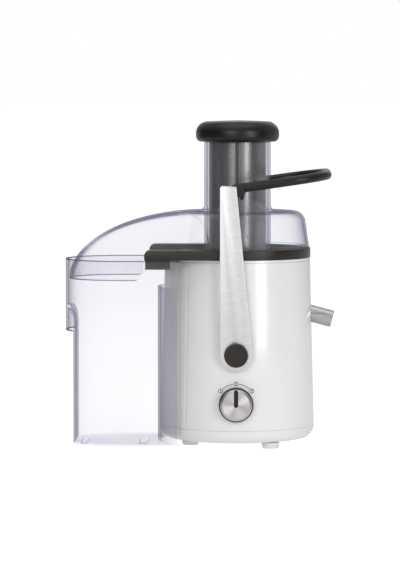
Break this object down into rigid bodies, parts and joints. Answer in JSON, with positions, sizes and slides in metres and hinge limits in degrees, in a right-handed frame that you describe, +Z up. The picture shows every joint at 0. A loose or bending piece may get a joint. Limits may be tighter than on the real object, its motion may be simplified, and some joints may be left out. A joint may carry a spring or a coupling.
{
  "type": "centrifugal juicer",
  "caption": "Free-standing juicer with a clear lid and feed chute, metal pusher, bow handle on lock arms, front spout, side knob and a rear pulp container.",
  "frame": {"origin": "on the table, in the middle of the overall box", "axes": "+X to the juice spout, +Z up, control knob towards -Y, pulp container at -X"},
  "size_m": [0.3246, 0.206, 0.39],
  "materials": {
    "white_housing": "smooth white moulding",
    "foot_plastic": "soft white",
    "dark_collar": "satin brown-black",
    "black_grip": "satin black",
    "clear_plastic": "clear moulded plastic, faint lavender tint",
    "brushed_strip": "fine brushing across",
    "dark_sleeve": "dark brushed metal",
    "steel": "plain",
    "cast_metal": "plain casting",
    "lamination": "stacked sheet",
    "copper": "enamelled wire and bars",
    "rubber": "plain",
    "electrics": "plain"
  },
  "bodies": {
    "base": {"base_screw_1": "steel", "base_screw_2": "steel", "base_screw_3": "steel", "base_tray": "white_housing", "bearing_lower": "steel", "bearing_upper": "steel", "brush_holder_far": "copper", "brush_holder_near": "copper", "control_board": "electrics", "cord_gland": "rubber", "foot_front_far": "foot_plastic", "foot_front_near": "foot_plastic", "foot_rear_far": "foot_plastic", "foot_rear_near": "foot_plastic", "front_panel": "white_housing", "interlock_switch": "electrics", "juice_collector": "dark_collar", "lid": "clear_plastic", "motor_deck": "white_housing", "motor_frame_lower": "cast_metal", "motor_frame_upper": "cast_metal", "motor_mount_1": "rubber", "motor_mount_2": "rubber", "motor_mount_3": "rubber", "motor_stator": "lamination", "pivot_bush_far": "black_grip", "pivot_bush_near": "black_grip", "rear_cover": "white_housing", "rotary_switch": "electrics", "shaft_seal": "rubber", "spout_tube": "brushed_strip", "winding_lower": "copper", "winding_upper": "copper"},
    "rotor": {"motor_shaft": "steel", "armature_core": "lamination", "commutator": "copper", "cooling_fan": "black_grip", "drive_coupling": "black_grip"},
    "basket": {"basket_hub": "black_grip", "basket_rim": "black_grip", "filter_mesh": "steel", "grater_disc": "steel"},
    "lock": {"lock_arm_near": "brushed_strip", "lock_arm_far": "brushed_strip", "handle_bow": "black_grip", "pivot_cap_near": "dark_collar", "pivot_cap_far": "dark_collar", "pivot_pin_near": "steel", "pivot_pin_far": "steel", "interlock_cam": "black_grip"},
    "pusher": {"pusher_sleeve": "dark_sleeve", "pusher_cap": "black_grip", "pusher_plug": "black_grip", "pusher_guide": "black_grip"},
    "knob": {"knob_body": "black_grip", "knob_face": "brushed_strip", "knob_pointer": "black_grip", "knob_shaft": "steel"},
    "container": {"pulp_container": "clear_plastic"}
  },
  "joints": [
    {"name": "lock_swing", "type": "hinge", "parent": "base", "child": "lock", "pos_m": [0.04522, 0, 0.114], "axis": [0, 1, 0], "range_deg": [0, 75]},
    {"name": "pusher_slide", "type": "slide", "parent": "base", "child": "pusher", "axis": [0, 0, 1], "range_m": [0, 0.14]},
    {"name": "knob_turn", "type": "hinge", "parent": "base", "child": "knob", "pos_m": [0.04522, -0.095, 0.055], "axis": [0, -1, 0], "range_deg": [-49, 49]},
    {"name": "container_slide", "type": "slide", "parent": "base", "child": "container", "axis": [-1, 0, 0], "range_m": [0, 0.15]},
    {"name": "rotor_spin", "type": "hinge", "parent": "base", "child": "rotor", "pos_m": [0.04522, 0, 0.08], "axis": [0, 0, 1], "continuous": true},
    {"name": "basket_spin", "type": "hinge", "parent": "base", "child": "basket", "pos_m": [0.04522, 0, 0.185], "axis": [0, 0, 1], "continuous": true}
  ],
  "couplings": [
    {"joint": "basket_spin", "follows": "rotor_spin", "ratio": 1}
  ]
}
